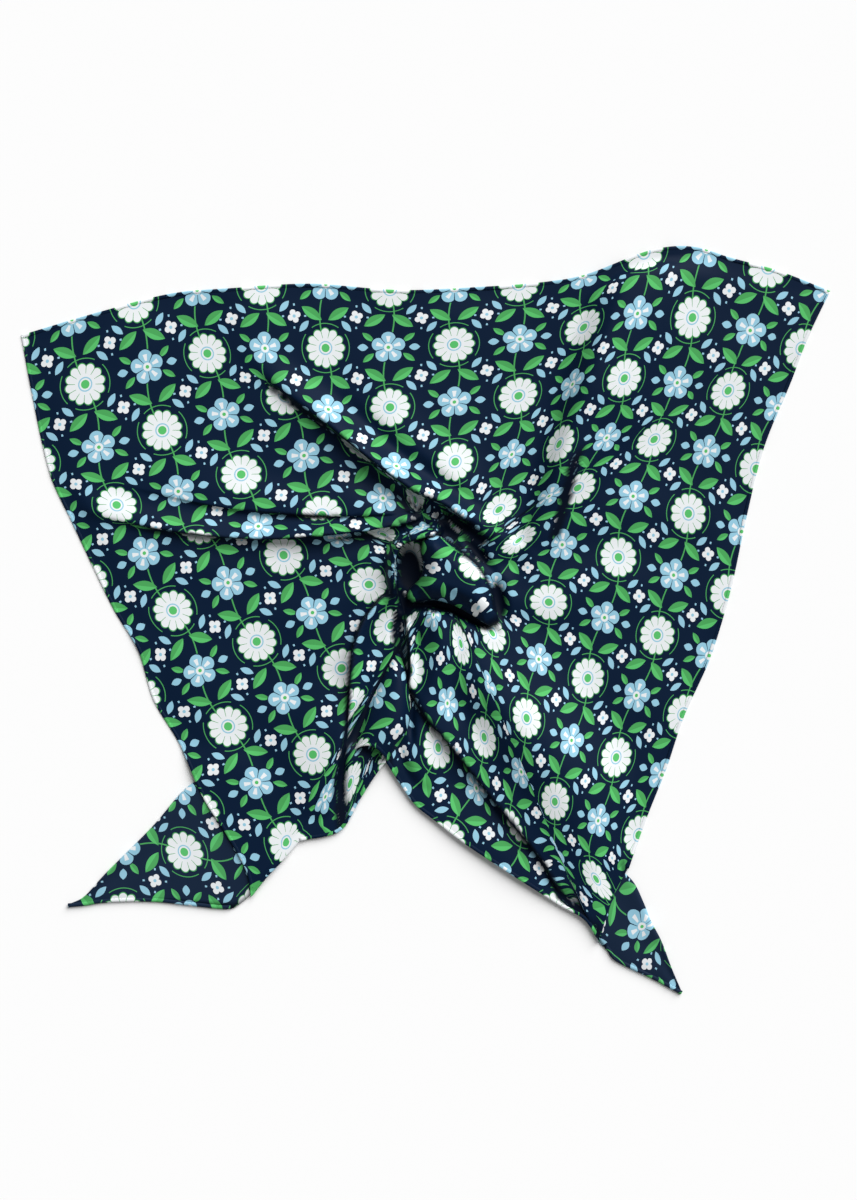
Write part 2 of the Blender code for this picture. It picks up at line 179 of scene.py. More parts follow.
# name, crest x, y outward; then along it: spread left, spread right, squareness, rise; lean over
# its narrow side as a share of its rise
RIDGES = (
    ("pleat flap", ((-8, 127), (-40, 123), (-87, 120), (-142, 120), (-202, 124), (-257, 133),
      (-316, 147), (-365, 158)),
     (3, 3, 4, 7), (20, 28, 36, 44), 2, (8, 9, 8, 7, 6, 4, 2, 0), 0.5),
    ("left pleat", ((-8, 118), (-32, 111), (-62, 104), (-124, 97), (-188, 94), (-260, 100),
      (-330, 113), (-395, 130)),
     (4, 4, 5, 7, 9), (13, 14, 14, 15, 18), 2, (10, 13, 13, 12, 10, 8, 4, 1), 0.5),
    ("upper left roll", ((46, 112), (22, 131), (-10, 147), (-42, 169), (-77, 197), (-109, 223),
      (-143, 248), (-174, 275), (-210, 312)),
     (7, 8, 9, 11, 14), (12, 14, 16, 18, 20), 2, (13, 18, 20, 20, 18, 14, 9, 3, 0), 0.3),
    ("beyond the roll", ((68, 128), (30, 158), (-14, 192), (-56, 228), (-102, 266)),
     (11, 11, 12), (24, 30, 36), 2, (0, 7, 7, 5, 0), 0),
    ("cross fold", ((-22, 166), (7, 146), (40, 122), (70, 99), (98, 82), (134, 70)),
     (6, 8, 9), (16, 20, 22), 2, (0, 5, 8, 9, 6, 0), 0),
    ("upper right swell", ((106, 84), (132, 128), (152, 180), (173, 240), (193, 296), (214, 348),
      (246, 404)),
     (16, 23, 27, 30), (34, 48, 60, 64), 2, (5, 17, 24, 27, 27, 22, 14), 0),
    ("upper right line", ((136, 66), (147, 96), (157, 130), (165, 164), (178, 205)),
     (5, 6, 7), (14, 20, 26), 2, (0, 7, 8, 6, 0), 0.15),
    ("right swell", ((92, 25), (190, 27), (310, 55)),
     (22, 34, 40), (22, 34, 40), 2, (4, 6, 2, 0), 0),
    ("lower right lap", ((-19, -66), (2, -100), (22, -122), (54, -162), (93, -212), (130, -258),
      (152, -302), (180, -343)),
     (18, 34, 42, 34, 20), (3, 3, 4, 5), 2, (7, 12, 12, 11, 11, 9, 7, 3), 0.5),
    ("lower right back", ((30, -40), (74, -76), (111, -120), (144, -176), (171, -238), (186, -294)),
     (48, 56, 54, 34), (28, 46, 52, 38), 2, (8, 18, 23, 22, 17, 8), 0),
    ("lip fall", ((5, 14), (16, -21), (11, -65), (-1, -108), (-15, -158), (-26, -196)),
     (12, 24, 30, 26), (18, 18, 14, 14), 2, (14, 14, 13, 12, 9, 4), 0),
    ("lip fold 1", ((-23, 14), (-17, -13), (-14, -43), (-13, -76)),
     (4, 5, 6), (3, 4, 5), 2, (5, 10, 9, 4), 0.2),
    ("lip fold 2", ((-6, 16), (-2, -8), (3, -34)),
     (4, 6, 8), (4, 5, 6), 2, (4, 8, 0), 0),
    ("lip fold 3", ((72, -5), (53, -20), (38, -38), (29, -58)),
     (6, 8, 9), (5, 6, 7), 2, (3, 8, 7, 0), 0),
    ("left roll", ((-46, 20), (-62, -4), (-71, -32), (-74, -62), (-76, -92), (-79, -122),
      (-84, -156), (-88, -192)),
     (9, 14, 17, 16, 12), (6, 7, 7, 7, 8), 2.2, (12, 19, 22, 21, 18, 13, 7, 2), 0.35),
    ("lower left swell", ((-82, -60), (-90, -110), (-102, -160), (-118, -220)),
     (14, 14, 14), (46, 66, 62), 2, (4, 12, 13, 10, 2), 0),
)
# name, bottom x, y outward; then along it: spread left, spread right, depth
GROOVES = (
    ("below the pleat", ((-20, 98), (-62, 92), (-124, 84), (-188, 81), (-268, 86), (-366, 105)),
     (12, 14, 16, 18), (5, 5, 6, 7), (8, 8, 6, 5, 4, 0)),
    ("upper left", ((34, 92), (5, 116), (-36, 142), (-72, 166), (-114, 198), (-160, 238)),
     (18, 20, 24), (8, 9, 12), (8, 9, 7, 5, 2, 0)),
    ("upper right", ((98, 62), (112, 120), (132, 180), (150, 240), (172, 310), (190, 360)),
     (16, 22, 26), (10, 12, 14), (6, 6, 5, 4, 3, 0)),
    ("slot", ((-29, 18), (-31, -10), (-28, -40), (-20, -68), (-17, -95), (-15, -120), (-13, -142)),
     (6, 6, 5, 4, 4), (5, 5, 4, 3, 3), (22, 18, 15, 12, 9, 5, 0)),
    ("left slot", ((-30, -32), (-38, -54), (-48, -76), (-58, -98), (-68, -116), (-77, -132)),
     (6, 8, 8, 8, 6), (6, 8, 9, 9, 8), (6, 15, 17, 16, 12, 4)),
    ("slit", ((-84, -148), (-89, -172), (-91, -200), (-90, -226)),
     (4, 4, 4), (6, 8, 9), (5, 5, 4, 2)),
    ("below the lap", ((-10, -82), (12, -122), (46, -166), (86, -218), (124, -266), (146, -306)),
     (4, 5, 5), (16, 20, 20), (6, 6, 6, 5, 3, 0)),
    ("cross", ((62, 84), (32, 110), (3, 127), (-22, 144)),
     (6, 6, 5), (6, 6, 5), (8, 11, 6, 0)),
    ("under the lip", ((-13, 16), (5, 16), (26, 15), (47, 5), (60, -2), (76, -11)),
     (5, 6, 5), (5, 6, 5), (8, 16, 16, 15, 12, 5)),
)
# the collar's roll that climbs to the lobe, as a row of the ridges
LIMB = ("limb", ((-27, 9), (-35, 28), (-40, 51), (-38, 72), (-28, 88), (-11, 95), (7, 98)),
        (8, 9, 9, 9, 10), (6, 7, 7, 7, 8), 2.4, (12, 22, 27, 31, 35, 36, 34), 0.2)
# a leaning crest's slope ahead as a share of its narrow spread; behind, per mm of lean, and more
LEAN_AHEAD = 0.62
LEAN_BEHIND = (2.2, 6)
# the rise at which a leaning crest hides the cloth below it, and the depths between which a groove
# comes to hide its own
LEAN_HIDES = 6
GROOVE_HIDES = (3, 8)
# the lobe's outline, its height and slopes along x and y, the width of its rounded rim, how far
# that bulges over its foot all round, and how deep in it is widest
LOBE = (
    (-2, 88), (-4, 75), (-1, 60), (-6, 44), (-16, 35), (-20, 27), (-13, 19), (5, 22), (27, 22),
    (43, 16), (57, 8), (76, -3), (74, 17), (68, 38), (57, 57), (42, 72), (25, 85), (10, 93),
)
LOBE_TOP = (37, -0.12, 0.10)
LOBE_ROUND = 19
LOBE_BULGE = (4, 4, 4, 4, 3, 2, 3, 8, 9, 9, 8, 3, 4, 4, 4, 3, 3, 3, 4)
LOBE_BULGE_DEEP = 4
# where the lobe's middle lies on the flat square in metres, its turn there in degrees, its slack,
# and how far in from its outline its print is held
LOBE_PRINT = (0.443, 0.482)
LOBE_PRINT_TURN = 52
LOBE_SLACK = 1.12
LOBE_HELD_IN = 2
# line x, y; spread, and depth along it
LOBE_CREASES = (
    (((5, 87), (22, 80), (40, 67), (53, 52), (60, 33), (64, 16)), 3, (0, 2, 3, 3, 2, 0)),
    (((75, 3), (55, 18), (32, 31), (14, 38)), 3.5, (0, 3, 2.5, 0)),
    (((75, 3), (59, 31), (44, 50)), 3.5, (0, 2.2, 0)),
)
# middle x, y, half width, half length, turn, floor, and how far bare of print under painted shade
HOLLOWS = (
    (-17, 55, 17, 31, 5, 1.5, 1), (-26, 20, 9, 20, 14, 2, 1), (80, 22, 9, 26, 10, 1.5, 1),
    (55, 76, 28, 6.5, -50, 2, 0.9), (22, 106, 20, 5, -25, 4, 0.5),
    (-60, -128, 20, 24, 12, 2.2, 0),
)
# lines along which a fold hides cloth, out to the edge of the lay
LAPS = (
    ((-86, -140), (-91, -166), (-92, -200), (-90, -229)),
    ((88, -206), (130, -260), (154, -304), (187, -345)),
)
LAP_WIDTH = 3.5
# the pleat over the notch, from the twist to its mouth: left x, y, right x, y, rise
PLEAT = (
    (-34, -34, -26, -38, 4), (-46, -58, -20, -64, 12), (-61, -86, -16, -92, 17),
    (-71, -112, -20, -120, 19), (-82, -142, -41, -153, 17),
)
# its rows and spans, how far its mouth bows back, and how high its feet are and how much lower they
# start below the twist
PLEAT_ROWS = 60
PLEAT_SPAN = 44
PLEAT_BACK = 12
PLEAT_FOOT = 3
PLEAT_SUNK = 5
# where the print of the pleat's mouth starts on the flat square in metres, and how far the right
# tail's print is moved
PLEAT_PRINT = (0.392, 0.900)
RIGHT_TAIL_PRINT = np.array([0.045, 0.022])

# the cloth is laid flat in rounds over every third ring and fourth ray, then over all
COARSE_RINGS = 3
COARSE_RAYS = 4
COARSE_ROUNDS = 2600
FINE_ROUNDS = 380
RELAX_STEP = 1.6
# flat cloth per laid cloth from which the print goes bare under painted shade (the darker navy),
# and is wholly so; share of it beside
BARE_SHADE_FROM = 2.2
BARE_SHADE_FULL = 3.4
BARE_SHADE_BESIDE = 0.7

# ---- print, light and camera
# the print's columns and its shift in mm, and the twill's pitch
COLUMN = 70
PRINT_SHIFT = 12
TWILL_PITCH = 0.9
NAVY = (0.0012, 0.0094, 0.0305, 1)
# painted shade: a navy darker than the ground, for cloth in creases and hollows
PAINTED_SHADE_NAVY = (0.0006, 0.0036, 0.0120, 1)
GREEN = (0.064, 0.335, 0.092, 1)
BRIGHT_GREEN = (0.092, 0.470, 0.135, 1)
LIGHT_BLUE = (0.272, 0.520, 0.650, 1)
WHITE = (0.740, 0.768, 0.785, 1)
FADED = (0.10, 0.14, 0.20, 1)
THREAD = (0.006, 0.012, 0.028, 1)
TABLE_WHITE = (0.9, 0.9, 0.9, 1)

WORLD_LIGHT = 0.26
KEY_ENERGY = 4.28
KEY_ANGLE = 52
KEY_WAY = (-0.66, -1.00, -0.92)
TABLE_SIZE = 400
# metres; the frame is 1200 pixels of 1.09 mm high
CAMERA_HEIGHT = 2.4
FRAME_HEIGHT = 1200 * 1.09 * MM
FRAME_MIDDLE = (3.3 * MM, 22.3 * MM)
SENSOR = 36


def size(vectors):
    return np.linalg.norm(vectors, axis=-1)


def unit(vectors):
    return vectors / size(vectors)[..., None]


def run_along(points):
    """Length along a line from its start, at each of its points."""
    return np.concatenate([[0], np.cumsum(size(np.diff(points, axis=0)))])


def read_at(spots, run, lines):
    """The columns of lines, known at each length of run, at the spots."""
    return np.array([np.interp(spots, run, column) for column in lines.T]).T


def curve_through(rows, count, scale=MM):
    """A smooth curve through the rows, at count + 1 places evenly spaced along it on plan."""
    rows = np.array(rows, float) * scale
    padded = np.vstack([2 * rows[0] - rows[1], rows, 2 * rows[-1] - rows[-2]])
    steps = np.linspace(0, 1, CURVE_STEPS, endpoint=False)[:, None]
    pieces = []
    for before, start, end, after in zip(padded, padded[1:], padded[2:], padded[3:]):
        linear = (end - before) * steps
        square = (2 * before - 5 * start + 4 * end - after) * steps**2
        cube = (3 * start - before - 3 * end + after) * steps**3
        pieces.append(start + (linear + square + cube) / 2)
    dense = np.vstack(pieces + [rows[-1:]])
    run = run_along(dense[:, :2])
    return read_at(np.linspace(0, run[-1], count + 1), run, dense)


def inward(points, closed):
    """Ways inward from a clockwise line, longer at corners so that an offset keeps its width."""
    ahead = np.roll(points, -1, axis=0) - points
    behind = np.roll(ahead, 1, axis=0)
    if not closed:
        ahead[-1] = behind[-1]
        behind[0] = ahead[0]
    both = unit(behind) + unit(ahead)
    both = np.column_stack([both[:, 1], -both[:, 0]])
    return both / np.maximum(np.sum(both * both, axis=1) / 2, 0.5)[:, None]


def turned(ways, degrees):
    """Ways as seen from axes turned to the left."""
    cos, sin = np.cos(np.radians(degrees)), np.sin(np.radians(degrees))
    return ways @ np.array([[cos, -sin], [sin, cos]])


def ease(value):
    value = np.clip(value, 0, 1)
    return value * value * (3 - 2 * value)


def along(share, values):
    """The values, spread evenly over a line, at shares of its length."""
    return np.interp(share, np.linspace(0, 1, len(values)), values)


def smoothly(share, values):
    """The same along a smooth curve, and never below zero."""
    line = curve_through(np.column_stack([np.linspace(0, 1, len(values)), values]), 80, 1)
    return np.maximum(np.interp(share, line[:, 0], line[:, 1]), 0)


def smooth_round(values):
    """Values round the outline, with their steps smoothed."""
    window = np.hanning(2 * SMOOTH_RAYS + 1)
    padded = np.concatenate([values[-SMOOTH_RAYS:], values, values[:SMOOTH_RAYS]])
    return np.convolve(padded, window / np.sum(window), "valid")


def beside(points, line):
    """Distance from a line, which side (1 left, -1 right, between them past its ends), and the
    share along it."""
    best = np.full(len(points), np.inf)
    side = np.zeros(len(points))
    share = np.zeros(len(points))
    for index, (start, end) in enumerate(zip(line[:-1], line[1:])):
        way = end - start
        length = np.hypot(*way)
        way = way / length
        away = points - start
        run = np.clip(away @ way, 0, length)
        rest = away - run[:, None] * way
        far = size(rest)
        closer = far < best
        cross = way[0] * rest[:, 1] - way[1] * rest[:, 0]
        best[closer] = far[closer]
        side[closer] = (cross / np.maximum(far, 1e-6))[closer]
        share[closer] = ((index + run / length) / (len(line) - 1))[closer]
    return best, side, share


def within(points, ring):
    x, y = points.T
    hit = np.zeros(len(points), bool)
    for (ax, ay), (bx, by) in zip(ring, np.roll(ring, -1, axis=0)):
        crosses = (ay > y) != (by > y)
        hit ^= crosses & (x < (bx - ax) * (y - ay) / (by - ay + 1e-12) + ax)
    return hit


def side_ways(line):
    """Unit ways to the left of a line, at its points."""
    ahead = np.gradient(line[:, :2], axis=0)
    return unit(np.column_stack([-ahead[:, 1], ahead[:, 0]]))


def lap_side(points, path, left, right):
    """For a fold that leans: distance past its crest towards its narrow side, the spread there,
    the way there, the share along it, and a fade past its ends."""
    line = curve_through(path, FOLD_STEPS, 1)
    far, side, share = beside(points, line)
    toward = 1 if min(left) < min(right) else -1
    narrow = along(share, left if toward > 0 else right)
    way = read_at(share, np.linspace(0, 1, len(line)), side_ways(line)) * toward
    past = far * side * toward
    fade = np.exp(-(far**2 - past**2) / narrow**2)
    return past, narrow, way, share, fade


def ridge(points, path, left, right, square, rise):
    far, side, share = beside(points, curve_through(path, FOLD_STEPS, 1))
    spread = along(share, right)
    spread = spread + (along(share, left) - spread) * (0.5 + side / 2)
    return smoothly(share, rise) * np.exp(-(far / spread) ** square)


def ripples(points, from_twist):
    """Low uneven swells of slack cloth, about 1 mm high, running mostly outward from the twist."""
    x, y = points.T
    bend = 9 * np.sin(x / 61 + 0.7) + 11 * np.sin(y / 73 - 1.1)
    angle = np.arctan2(y - TWIST[1] + bend, x - TWIST[0] - bend)
    spokes = np.sin(9 * angle + 0.6 * np.sin(from_twist / 47))
    spokes = spokes + 0.7 * np.sin(16 * angle + from_twist / 83)
    swells = np.sin((x + 0.6 * y + bend) / 23 + 1.3) * np.sin((y - 0.4 * x - bend) / 31)
    return np.clip(from_twist / RIPPLES_FULL, 0, 1) * (0.8 * spokes + 1.1 * swells)


def lobe_line():
    return curve_through(LOBE + LOBE[:1], LOBE_STEPS, 1)


def lobe_height(points):
    """Height of the lobe at each plan point in mm, and 0 outside it."""
    ring = lobe_line()
    far, _, _ = beside(points, ring)
    deep = np.where(within(points, ring[:-1]), far, 0)
    top = LOBE_TOP[0] + (points - ring.mean(axis=0)) @ np.array(LOBE_TOP[1:])
    lobe = top * (1 - (1 - np.clip(deep / LOBE_ROUND, 0, 1)) ** 2.4) ** 0.62
    for path, spread, depth in LOBE_CREASES:
        far, _, share = beside(points, curve_through(path, 24, 1))
        lobe = np.maximum(lobe - smoothly(share, depth) * np.exp(-(far / spread) ** 2), 0)
    return lobe


def lean_over(points):
    """How far the folds and the lobe push each plan point sideways over their own foot, in mm."""
    shift = np.zeros_like(points)
    for _, path, left, right, _, rise, lean in RIDGES + (LIMB,):
        if not lean:
            continue
        past, narrow, way, share, fade = lap_side(points, path, left, right)
        reach = smoothly(share, rise) * lean
        steep = np.exp(-(past / (LEAN_AHEAD * narrow)) ** 2)
        gentle = np.exp(-(past / (LEAN_BEHIND[0] * reach + LEAN_BEHIND[1])) ** 2)
        shift += way * (reach * fade * np.where(past > 0, steep, gentle))[:, None]
    ring = lobe_line()
    far, _, share = beside(points, ring)
    way = read_at(share, np.linspace(0, 1, len(ring)), side_ways(ring))
    deep = np.where(within(points, ring[:-1]), far, 0) / LOBE_BULGE_DEEP
    shift -= way * (along(share, LOBE_BULGE) * deep * np.exp(1 - deep))[:, None]
    return shift


def lay_height(points):
    """Height of the cloth at each plan point in mm, how hidden it is, and how far it is bare of
    print under painted shade.
    """
    from_twist = size(points - TWIST)
    cubes = np.zeros(len(points))
    for _, *fold, _ in RIDGES:
        cubes += ridge(points, *fold) ** 3
    mound = MOUND_HEIGHT * np.exp(-(from_twist / MOUND_REACH) ** 1.6)
    height = REST_HEIGHT + mound + cubes ** (1 / 3) + ripples(points, from_twist)
    hidden = np.zeros(len(points))
    bare_and_shade = np.zeros(len(points))
    for path in LAPS:
        far, _, _ = beside(points, curve_through(path, FOLD_STEPS, 1))
        hidden = np.maximum(hidden, np.exp(-(far / LAP_WIDTH) ** 2))
    for _, path, left, right, _, rise, lean in RIDGES:
        if lean:
            past, narrow, _, share, fade = lap_side(points, path, left, right)
            slope = np.exp(-((past - 0.9 * narrow) / (0.8 * narrow)) ** 2)
            high = np.clip(smoothly(share, rise) / LEAN_HIDES, 0, 1)
            hidden = np.maximum(hidden, slope * fade * high)
    for _, path, left, right, depth in GROOVES:
        height -= ridge(points, path, left, right, 2, depth)
        tight = ridge(points, path, (min(left),) * 2, (min(right),) * 2, 2, depth)
        hides = (tight - GROOVE_HIDES[0]) / (GROOVE_HIDES[1] - GROOVE_HIDES[0])
        hidden = np.maximum(hidden, np.clip(hides, 0, 1))
    # rounds the height off where it would fall below 1 mm
    height = 1 + (height - 1 + np.sqrt((height - 1) ** 2 + 3)) / 2
    limb = ridge(points, *LIMB[1:-1])
    height = (height**4 + limb**4 + lobe_height(points) ** 4) ** 0.25
    for x, y, wide, long, turn, floor, painted_shade in HOLLOWS:
        away = turned(points - np.array([x, y]), turn) / np.array([wide, long])
        pit = np.exp(-1.2 * size(away) ** 3)
        height = height * (1 - pit) + floor * pit
        hidden = np.maximum(hidden, pit)
        # painted shade: the hollows' cloth is mixed towards the darker navy
        bare_and_shade = np.maximum(bare_and_shade, painted_shade * np.clip((pit - 0.35) / 0.4, 0, 1))
    return height, hidden, bare_and_shade


def top_outline():
    """The outline's points, their flat places, which have a hem, and each stretch's range."""
    points, hemmed, flat, ranges = [], [], [], {}
    count = 0
    for name, rows, hem, rays, start, end in OUTLINE:
        points.append(curve_through(rows, rays)[:-1])
        share = np.linspace(0, 1, rays, endpoint=False)[:, None]
        flat.append((np.array(start) * (1 - share) + np.array(end) * share) * MM)
        hemmed += [hem] * rays
        ranges[name] = (count, count + rays)
        count += rays
    hemmed = np.array(hemmed)
    return np.vstack(points), np.vstack(flat), hemmed | np.roll(hemmed, 1), ranges


def over_tails(points):
    """How high the top layer lies where the tails pass below it."""
    total = np.zeros(len(points))
    for rows in (LEFT_TAIL, RIGHT_TAIL):
        line = curve_through(rows, 24)
        hem, folded = line[:, :2], line[:, 2:]
        across = np.linspace(0, 1, 9)[:, None, None]
        cover = (hem * (1 - across) + folded * across).reshape(-1, 2)
        best = np.full(len(points), np.inf)
        for place in cover:
            best = np.minimum(best, size(points - place))
        total = np.maximum(total, 1 - ease((best - OVER_TAIL_FLAT) / OVER_TAIL_FALL))
    return total * OVER_TAIL


def neighbours(grid):
    """The ends of the grid's four kinds of edge: along rings, along rays, and both diagonals."""
    beyond = np.roll(grid, -1, axis=1)
    return (grid, beyond), (grid[:-1], grid[1:]), (grid[:-1], beyond[1:]), (beyond[:-1], grid[1:])


def relax(flat, lengths, weights, held, rounds):
    """Moves the flat points until the edges between them have the cloth's lengths."""
    flat = flat.copy()
    every, inner, outer = slice(None), slice(None, -1), slice(1, None)
    spots = ((every, 0, every, 1), (inner, 0, outer, 0), (inner, 0, outer, 1), (inner, 1, outer, 0))
    total = np.full(flat.shape[:2], 1e-9)
    for weight, (first, turn, second, turned) in zip(weights, spots):
        total[first] += np.roll(weight, turn, axis=1)
        total[second] += np.roll(weight, turned, axis=1)
    share = np.where(held, 0, RELAX_STEP / total)[..., None]
    for _ in range(rounds):
        move = np.zeros_like(flat)
        for (start, end), length, weight, (first, turn, second, turned) in zip(
                neighbours(flat), lengths, weights, spots):
            step = end - start
            now = np.maximum(size(step), 1e-9)
            pull = step * (weight * (now - length) / now * 0.5)[..., None]
            move[first] += np.roll(pull, turn, axis=1) if turn else pull
            move[second] -= np.roll(pull, turned, axis=1) if turned else pull
        flat += move * share
    return flat


def lay_flat(shape, hidden, rim, free, lobe, lobe_flat):
    """Where each point of the laid cloth is on the flat square. The rim is held, apart from its
    free stretches, and so is the lobe."""
    rings, rays = shape.shape[:2]
    away = size(shape[..., :2] - TWIST * MM)
    share = (away / away[-1])[..., None]
    flat = TWIST_FLAT * MM * (1 - share) + rim * share
    held = np.zeros((rings, rays), bool)
    held[-1] = True
    for first, last in free:
        held[-1, first + 1:last] = False
    held |= lobe
    flat = np.where(lobe[..., None], lobe_flat, flat)

    def settle(start, hidden, rows, columns, rounds):
        part = shape[rows][:, columns]
        dim = neighbours(hidden[rows][:, columns])
        lengths, weights = [], []
        for (first, second), (one, other) in zip(neighbours(part), dim):
            length, level = size(second - first), size((second - first)[..., :2])
            steep = np.clip((length / np.maximum(level, 1e-6) - 1.15) / 0.6, 0, 1)
            lengths.append(length)
            weights.append(0.001 + (1 - steep) ** 2 * (1 - np.maximum(one, other)) ** 2)
        return relax(start, lengths, weights, held[rows][:, columns], rounds)

    few = np.unique(np.concatenate([np.arange(0, rings, COARSE_RINGS), [rings - 1]]))
    wide = np.maximum.reduce([np.roll(hidden, turn, axis=1) for turn in (-2, -1, 0, 1, 2)])
    wide[1:-1] = np.maximum(wide[1:-1], np.maximum(wide[2:], wide[:-2]))
    some = slice(None, None, COARSE_RAYS)
    coarse = settle(flat[few][:, some], wide, few, some, COARSE_ROUNDS)
    spots = np.arange(rays) / COARSE_RAYS
    low = spots.astype(int)
    high = (low + 1) % coarse.shape[1]
    around = coarse[:, low] + (coarse[:, high] - coarse[:, low]) * (spots - low)[None, :, None]
    place = np.arange(rings)
    upper = np.minimum(np.searchsorted(few, place, side="right"), len(few) - 1)
    lower = upper - 1
    part = ((place - few[lower]) / (few[upper] - few[lower]))[:, None, None]
    start = around[lower] * (1 - part) + around[upper] * part
    start[held] = flat[held]
    return settle(start, hidden, slice(None), slice(None), FINE_ROUNDS)


def facing_up(shape):
    """The upward part of the cloth's normal at each grid point."""
    around = np.roll(shape, -1, axis=1) - np.roll(shape, 1, axis=1)
    normal = np.cross(around, np.gradient(shape, axis=0))
    return normal[..., 2] / np.maximum(size(normal), 1e-12)


def squeeze(shape, flat):
    """How much more flat cloth than laid cloth there is at each grid point, as a ratio."""
    ratios = []
    for (start, end), (first, second) in zip(neighbours(shape)[:2], neighbours(flat)[:2]):
        ratios.append(size(second - first) / np.maximum(size(end - start), 1e-6))
    round_it, outward = ratios
    most = np.maximum(1, np.maximum(round_it, np.roll(round_it, 1, axis=1)))
    most[:-1] = np.maximum(most[:-1], outward)
    most[1:] = np.maximum(most[1:], outward)
    return most


def new_object(name, data):
    item = bpy.data.objects.new(name, data)
    bpy.context.collection.objects.link(item)
    return item


def grid_mesh(name, vertices, flat, faces, look, bare_and_shade=None):
    """A piece of cloth with its flat places as UVs, and how far each point is bare of print under
    painted shade.
    """
    mesh = bpy.data.meshes.new(name)
    mesh.from_pydata(np.asarray(vertices).tolist(), [], faces)
    plain = mesh.attributes.new("bare_and_shade", "FLOAT", "POINT")
    plain.data.foreach_set("value", np.zeros(len(vertices)) if bare_and_shade is None else bare_and_shade)
    layer = mesh.uv_layers.new(name="cloth")
    loops = np.empty(len(mesh.loops), dtype=np.int32)
    mesh.loops.foreach_get("vertex_index", loops)
    layer.data.foreach_set("uv", np.asarray(flat, dtype=np.float32)[loops].reshape(-1))
    mesh.materials.append(look)
    mesh.update()
    mesh.shade_smooth()
    item = new_object(name, mesh)
    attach(item, "root")
    return item


def grid_faces(grid):
    """The faces between the rows of a grid of vertex numbers."""
    quads = np.stack([grid[:-1, :-1], grid[1:, :-1], grid[1:, 1:], grid[:-1, 1:]], axis=-1)
    return [tuple(quad) for quad in quads.reshape(-1, 4).tolist()]


def ring_faces(rows, columns):
    grid = np.arange(rows * columns).reshape(rows, columns)
    return grid_faces(np.column_stack([grid, grid[:, 0]]))


def tube_mesh(name, lines, flats, look):
    """A closed tube from the lines that run along it, one for each point of its section."""
    round_it = len(lines)
    vertices = np.array(lines).transpose(1, 0, 2).reshape(-1, 3)
    flats = np.array(flats).transpose(1, 0, 2).reshape(-1, 2)
    faces = ring_faces(len(vertices) // round_it, round_it)
    last = range(len(vertices) - round_it, len(vertices))
    faces += [tuple(range(round_it)), tuple(last)[::-1]]
    return grid_mesh(name, vertices, flats, faces, look)


# ---- the silk and its print
class Value:
    """A number or colour in the shader being made, so that the print can be written as sums."""

    tree = None

    def __init__(self, socket):
        self.socket = socket

    def size(self):
        return math("ABSOLUTE", self)

    def times(self, factor, add):
        return math("MULTIPLY_ADD", self, factor, add)


def feed(value, spot):
    if isinstance(value, Value):
        Value.tree.links.new(value.socket, spot)
    else:
        spot.default_value = value


def fill(node, **values):
    """Sets a node's options, in lower case, and feeds its inputs, with _ for a space."""
    for name, value in values.items():
        if name.islower():
            setattr(node, name, value)
        else:
            feed(value, node.inputs[name.replace("_", " ")])


def output(kind, name, **values):
    """An output of a new node."""
    node = Value.tree.nodes.new("ShaderNode" + kind)
    fill(node, **values)
    return Value(node.outputs[name])


def math(kind, *terms):
    node = Value.tree.nodes.new("ShaderNodeMath")
    node.operation = kind
    for term, spot in zip(terms, node.inputs):
        feed(term, spot)
    return Value(node.outputs[0])


for sign, kind in (
        ("add", "ADD"), ("sub", "SUBTRACT"), ("mul", "MULTIPLY"), ("lt", "LESS_THAN"),
        ("gt", "GREATER_THAN"), ("and", "MULTIPLY"), ("or", "MAXIMUM")):
    setattr(Value, "__%s__" % sign, lambda one, other, kind=kind: math(kind, one, other))


def wrapped(value, period):
    """The value folded into one period with zero in its middle."""
    return math("WRAP", value, period / 2, -period / 2)


def leaf(x, y, place, degrees, length, width):
    """A pointed leaf, and its upper half without the vein."""
    cos, sin = np.cos(np.radians(degrees)), np.sin(np.radians(degrees))
    px, py = place
    run = math("MULTIPLY_ADD", y, sin, x.times(cos, -px * cos - py * sin))
    side = math("MULTIPLY_ADD", y, cos, x.times(-sin, px * sin - py * cos))
    edge = (run * run).times(-2 * width / length**2, width / 2)
    return side.size() < edge, (side > 0.5) & (side < edge)


def polar(x, y):
    return math("SQRT", x * x + y * y), math("ARCTAN2", y, x)


def petals(distance, angle, count, radius, depth, phase=0.0):
    """How far outside a flower's outline a point is, and 1 on its petals' middles to 0 between."""
    wave = math("COSINE", angle.times(count / 2, phase)).size()
    reach = math("POWER", wave, 0.6).times(radius * depth, radius * (1 - depth))
    return distance - reach, wave


def mixed(factor, below, above, kind="MIX"):
    """A colour laid over another."""
    return output("Mix", "Result", data_type="RGBA", blend_type=kind,
                  Factor=factor, A=below, B=above)


